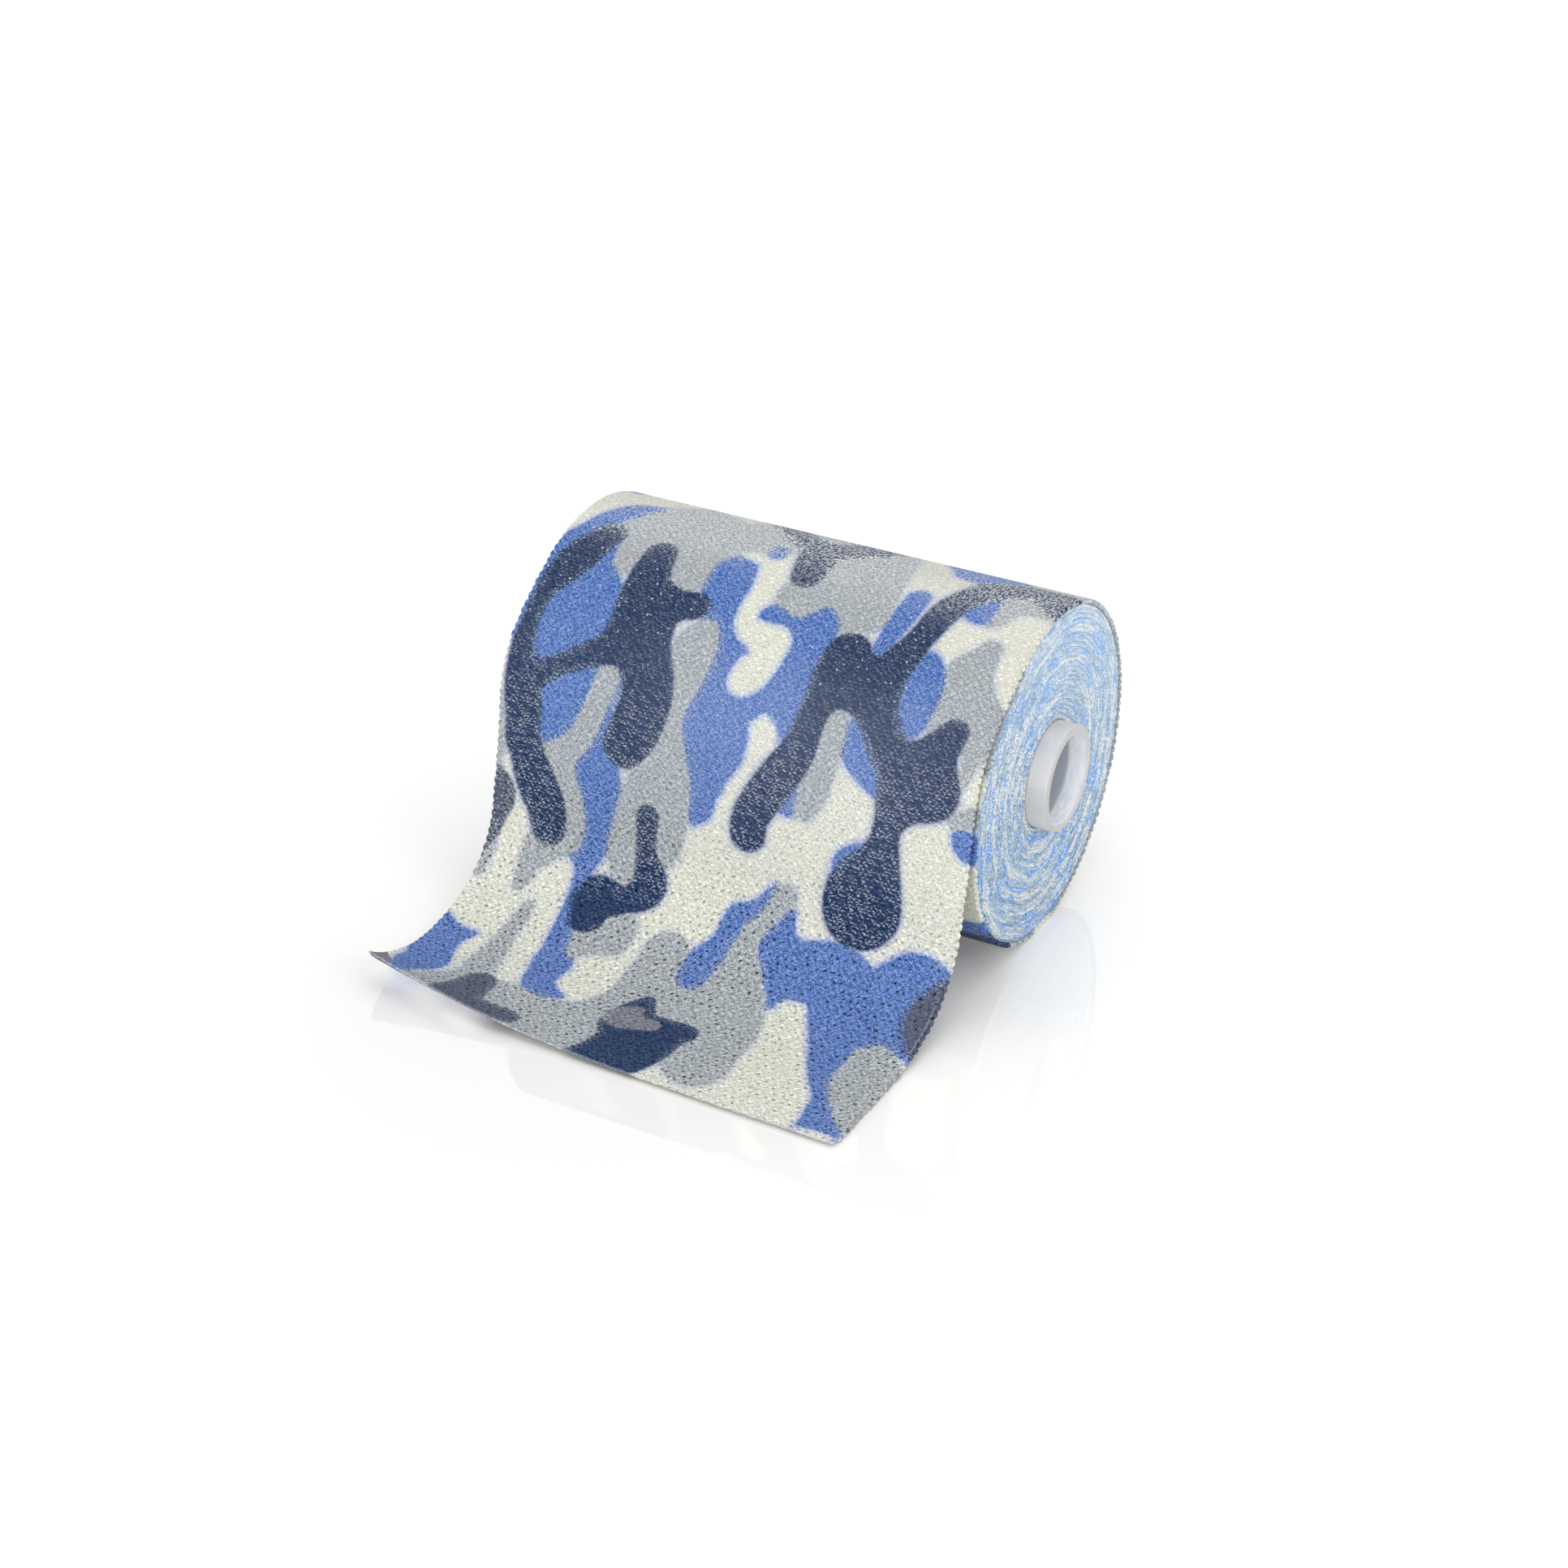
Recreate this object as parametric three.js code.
// Casting tape roll: knitted support tape wound on a plastic core, with its loose end hanging
// down the front of the roll and lying forward on the surface, one corner curled up.
// Millimetres, +Z up. X runs along the roll's axis and the loose end lies towards -Y.
// The origin is the middle of the small flat spot that the roll rests on.

import * as THREE from 'three';
import { mergeVertices } from 'three/addons/utils/BufferGeometryUtils.js';

// The tape, four inches wide
const tapeWidth = 101.6;
const tapeThickness = 1.0;
const clearance = 0.3;

// The wound roll
const rollRadius = 34.5;
const flatSpotDepth = 0.35;
const axisHeight = rollRadius - flatSpotDepth;
const rollSteps = 120;

// The turn under the loose end starts one layer down and rises to full size over this angle
const leaveAngle = 122;
const underTurnAngle = 38;
const stepRun = 0.3;

// How far the layers stand back from the plane of the selvedges, from the core outwards
const endRelief = [
  { reach: 0.0, setBack: 0.5 },
  { reach: 0.12, setBack: 0.1 },
  { reach: 0.3, setBack: 0.45 },
  { reach: 0.48, setBack: 0.0 },
  { reach: 0.66, setBack: 0.4 },
  { reach: 0.82, setBack: 0.05 },
  { reach: 0.96, setBack: 0.1 },
  { reach: 1.0, setBack: 0.6 },
];

// The core tube stands proud of both faces, and the winding is a little off centre on it
const coreOuterRadius = 10.6;
const coreInnerRadius = 8.95;
const coreProud = 4.0;
const coreOuterRim = 0.95;
const coreInnerRim = 0.35;
const coreOffset = { y: -0.7, z: 0.4 };
const coreSteps = 64;
const rimSteps = 4;

// The loose end's path from the roll to the surface, as arcs: a length along the tape and how
// far it turns, positive on round the roll and negative away from it. The hang takes the
// length that brings the flat part down to the surface.
const loosePath = [
  { part: 'slack', length: 14.0, turn: 9.3 },
  { part: 'shoulder', length: 16.5, turn: 43.5 },
  { part: 'hang', length: 'to surface', turn: -5.1 },
  { part: 'sweep', length: 20.7, turn: -59.7 },
  { part: 'ease', length: 15.0, turn: -20.0 },
];

// The cut end is a little longer on the right, where its corner is rounded
const cutLengthLeft = 106.1;
const cutLengthRight = 110.4;
const cornerRadius = 3.0;

// The left front corner is rolled up about a line across the tape: where the line meets the
// left selvedge, how far it leans, and the radius of the curl
const curlStart = 85.0;
const curlLean = THREE.MathUtils.degToRad(21.3);
const curlRadius = 30.5;

const looseColumns = 20;
const looseRows = 56;
const cornerColumns = 4;

const tapeMaterial = new THREE.MeshStandardMaterial({ color: 0x6f86b8, roughness: 0.85, metalness: 0 });
const looseMaterial = new THREE.MeshStandardMaterial({ color: 0x5f7fc4, roughness: 0.85, metalness: 0 });
const coreMaterial = new THREE.MeshStandardMaterial({ color: 0xd6d9e0, roughness: 0.4, metalness: 0 });

// A closed body from a grid of points: each row of points is joined to the next, and both the
// rows and the points in a row run round to where they began
function ringGeometry(rows) {
  const count = rows[0].length;
  const positions = rows.flat().flatMap((point) => [point.x, point.y, point.z]);
  const indices = [];
  for (let r = 0; r < rows.length; r += 1) {
    const next = (r + 1) % rows.length;
    for (let i = 0; i < count; i += 1) {
      const after = (i + 1) % count;
      const a = r * count + i;
      const b = r * count + after;
      const c = next * count + after;
      const d = next * count + i;
      indices.push(a, b, c, a, c, d);
    }
  }
  const geometry = new THREE.BufferGeometry();
  geometry.setAttribute('position', new THREE.Float32BufferAttribute(positions, 3));
  geometry.setIndex(indices);
  return geometry;
}

// A sheet of the tape's thickness between two grids of points, closed all round its rim
function sheetGeometry(outer, inner) {
  const rows = outer.length;
  const columns = outer[0].length;
  const layer = rows * columns;
  const positions = [...outer.flat(), ...inner.flat()].flatMap((point) => [point.x, point.y, point.z]);
  const at = (row, column) => row * columns + column;
  const indices = [];
  for (let r = 0; r < rows - 1; r += 1) {
    for (let c = 0; c < columns - 1; c += 1) {
      const corners = [at(r, c), at(r + 1, c), at(r + 1, c + 1), at(r, c + 1)];
      const [p, q, s, t] = corners;
      indices.push(p, q, s, p, s, t);
      indices.push(layer + p, layer + s, layer + q, layer + p, layer + t, layer + s);
    }
  }
  const rim = [];
  for (let c = 0; c < columns - 1; c += 1) {
    rim.push([at(0, c), at(0, c + 1)]);
    rim.push([at(rows - 1, c + 1), at(rows - 1, c)]);
  }
  for (let r = 0; r < rows - 1; r += 1) {
    rim.push([at(r + 1, 0), at(r, 0)]);
    rim.push([at(r, columns - 1), at(r + 1, columns - 1)]);
  }
  for (const [from, to] of rim) {
    indices.push(from, to, layer + to, from, layer + to, layer + from);
  }
  const geometry = new THREE.BufferGeometry();
  geometry.setAttribute('position', new THREE.Float32BufferAttribute(positions, 3));
  geometry.setIndex(indices);
  return geometry;
}

// The winding's outer radius at an angle past the place where the tape leaves, going on round
// under the loose end: a layer and its clearance down there, then back to full size
function windingRadius(pastLeaving) {
  const drop = tapeThickness + clearance;
  return rollRadius - drop * (1 - THREE.MathUtils.smoothstep(pastLeaving, 0, underTurnAngle));
}

// One section of the wound roll through its axis: along the outside, down one end face, back
// through the bore and up the other end face
function windingSection(angle, radius) {
  const turn = THREE.MathUtils.degToRad(angle);
  const boreRadius = coreOuterRadius + clearance;
  const bore = { y: coreOffset.y + boreRadius * Math.cos(turn), z: coreOffset.z + boreRadius * Math.sin(turn) };
  const outside = { y: radius * Math.cos(turn), z: radius * Math.sin(turn) };
  const facePoint = (side, { reach, setBack }) => {
    const y = THREE.MathUtils.lerp(bore.y, outside.y, reach);
    const z = axisHeight + THREE.MathUtils.lerp(bore.z, outside.z, reach);
    return new THREE.Vector3(side * (tapeWidth / 2 - setBack), y, Math.max(z, 0));
  };
  const rimTop = { reach: 1 - clearance / rollRadius, setBack: 0.15 };
  const face = [...endRelief.slice(0, -1), rimTop, endRelief.at(-1)];
  const right = face.map((row) => facePoint(1, row));
  const left = face.map((row) => facePoint(-1, row));
  return [...right, ...left.reverse()];
}

function makeWoundRoll() {
  const stepAngle = THREE.MathUtils.radToDeg(stepRun / rollRadius);
  const sections = [];
  for (let i = 0; i < rollSteps; i += 1) {
    const pastLeaving = stepAngle + ((360 - stepAngle) * i) / (rollSteps - 1);
    sections.push(windingSection(leaveAngle + pastLeaving, windingRadius(pastLeaving)));
  }
  const roll = new THREE.Mesh(ringGeometry(sections), tapeMaterial);
  roll.name = 'wound_roll';
  return roll;
}

// The loose path as arcs with their start points and headings, ending in a straight run
function solvePath() {
  const leaving = THREE.MathUtils.degToRad(leaveAngle);
  const rise = (heading, turn) => (Math.cos(heading) - Math.cos(heading + turn)) / turn;
  const arcs = [];
  let heading = leaving + Math.PI / 2;
  for (const { length, turn } of loosePath) {
    const bend = THREE.MathUtils.degToRad(turn);
    arcs.push({ length, bend, heading });
    heading += bend;
  }
  const hang = arcs.find((arc) => arc.length === 'to surface');
  const fixedRise = arcs
    .filter((arc) => arc !== hang)
    .reduce((sum, arc) => sum + arc.length * rise(arc.heading, arc.bend), 0);
  const startHeight = axisHeight + rollRadius * Math.sin(leaving);
  hang.length = (tapeThickness - startHeight - fixedRise) / rise(hang.heading, hang.bend);
  let y = rollRadius * Math.cos(leaving);
  let z = startHeight;
  let start = 0;
  for (const arc of arcs) {
    Object.assign(arc, { y, z, start });
    const end = arc.heading + arc.bend;
    const radius = arc.length / arc.bend;
    y += radius * (Math.sin(end) - Math.sin(arc.heading));
    z += radius * (Math.cos(arc.heading) - Math.cos(end));
    start += arc.length;
  }
  return { arcs, flat: { y, z: tapeThickness, start } };
}

const path = solvePath();

// The tape's outer surface in the plane across the roll, at a length along the loose end
function pathPoint(along) {
  if (along >= path.flat.start) {
    return { y: path.flat.y - (along - path.flat.start), z: path.flat.z };
  }
  const arc = path.arcs.findLast((candidate) => candidate.start <= along) ?? path.arcs[0];
  const radius = arc.length / arc.bend;
  const heading = arc.heading + (along - arc.start) / radius;
  const y = arc.y + radius * (Math.sin(heading) - Math.sin(arc.heading));
  const z = arc.z + radius * (Math.cos(arc.heading) - Math.cos(heading));
  return { y, z };
}

// A point of the loose end's outer surface, with the corner beyond the curl line rolled up
function loosePoint(across, along) {
  const { y, z } = pathPoint(along);
  const past = (along - curlStart) * Math.cos(curlLean) - (across + tapeWidth / 2) * Math.sin(curlLean);
  if (past <= 0) {
    return new THREE.Vector3(across, y, z);
  }
  const pulledBack = past - curlRadius * Math.sin(past / curlRadius);
  const lift = curlRadius * (1 - Math.cos(past / curlRadius));
  return new THREE.Vector3(
    across + pulledBack * Math.sin(curlLean),
    y + pulledBack * Math.cos(curlLean),
    z + lift,
  );
}

// The matching point of the inner surface, one tape thickness in from the outer one
function innerPoint(across, along) {
  const reach = 0.01;
  const acrossward = loosePoint(across + reach, along).sub(loosePoint(across - reach, along));
  const alongward = loosePoint(across, along + reach).sub(loosePoint(across, along - reach));
  const inward = acrossward.cross(alongward).normalize();
  return loosePoint(across, along).addScaledVector(inward, tapeThickness);
}

// Where the tape is cut at a place across its width
function cutLength(across) {
  const straight = THREE.MathUtils.mapLinear(
    across, -tapeWidth / 2, tapeWidth / 2, cutLengthLeft, cutLengthRight,
  );
  const intoCorner = across - (tapeWidth / 2 - cornerRadius);
  if (intoCorner <= 0) {
    return straight;
  }
  return straight - cornerRadius + Math.sqrt(cornerRadius ** 2 - intoCorner ** 2);
}

function makeLooseEnd() {
  const cornerFrom = tapeWidth / 2 - cornerRadius;
  const columns = [];
  for (let c = 0; c <= looseColumns; c += 1) {
    columns.push(THREE.MathUtils.mapLinear(c, 0, looseColumns, -tapeWidth / 2, cornerFrom));
  }
  for (let c = 1; c <= cornerColumns; c += 1) {
    columns.push(cornerFrom + cornerRadius * Math.sin((c / cornerColumns) * (Math.PI / 2)));
  }
  const start = stepRun + clearance;
  const outer = [];
  const inner = [];
  for (let r = 0; r <= looseRows; r += 1) {
    const along = (across) => THREE.MathUtils.lerp(start, cutLength(across), r / looseRows);
    outer.push(columns.map((across) => loosePoint(across, along(across))));
    inner.push(columns.map((across) => innerPoint(across, along(across))));
  }
  const loose = new THREE.Mesh(sheetGeometry(outer, inner), looseMaterial);
  loose.name = 'loose_end';
  return loose;
}

// The rounded corner of the core's rim between two directions, as profile points
function rimCorner(centreRadius, centreAlong, radius, fromAngle, toAngle) {
  const points = [];
  for (let i = 0; i <= rimSteps; i += 1) {
    const angle = THREE.MathUtils.degToRad(THREE.MathUtils.lerp(fromAngle, toAngle, i / rimSteps));
    points.push(new THREE.Vector2(
      centreRadius + radius * Math.cos(angle),
      centreAlong + radius * Math.sin(angle),
    ));
  }
  return points;
}

function makeCore() {
  const halfLength = tapeWidth / 2 + coreProud;
  const outerCentre = coreOuterRadius - coreOuterRim;
  const innerCentre = coreInnerRadius + coreInnerRim;
  const outerAlong = halfLength - coreOuterRim;
  const innerAlong = halfLength - coreInnerRim;
  const profile = [
    ...rimCorner(outerCentre, -outerAlong, coreOuterRim, -90, 0),
    ...rimCorner(outerCentre, outerAlong, coreOuterRim, 0, 90),
    ...rimCorner(innerCentre, innerAlong, coreInnerRim, 90, 180),
    ...rimCorner(innerCentre, -innerAlong, coreInnerRim, 180, 270),
  ];
  profile.push(profile[0].clone());
  const lathed = new THREE.LatheGeometry(profile, coreSteps);
  lathed.deleteAttribute('normal');
  lathed.deleteAttribute('uv');
  const core = new THREE.Mesh(mergeVertices(lathed), coreMaterial);
  core.rotation.z = -Math.PI / 2;
  core.position.set(0, coreOffset.y, axisHeight + coreOffset.z);
  core.name = 'core_tube';
  return core;
}

const castingTapeRoll = new THREE.Group();
castingTapeRoll.add(makeWoundRoll(), makeLooseEnd(), makeCore());

export default castingTapeRoll;
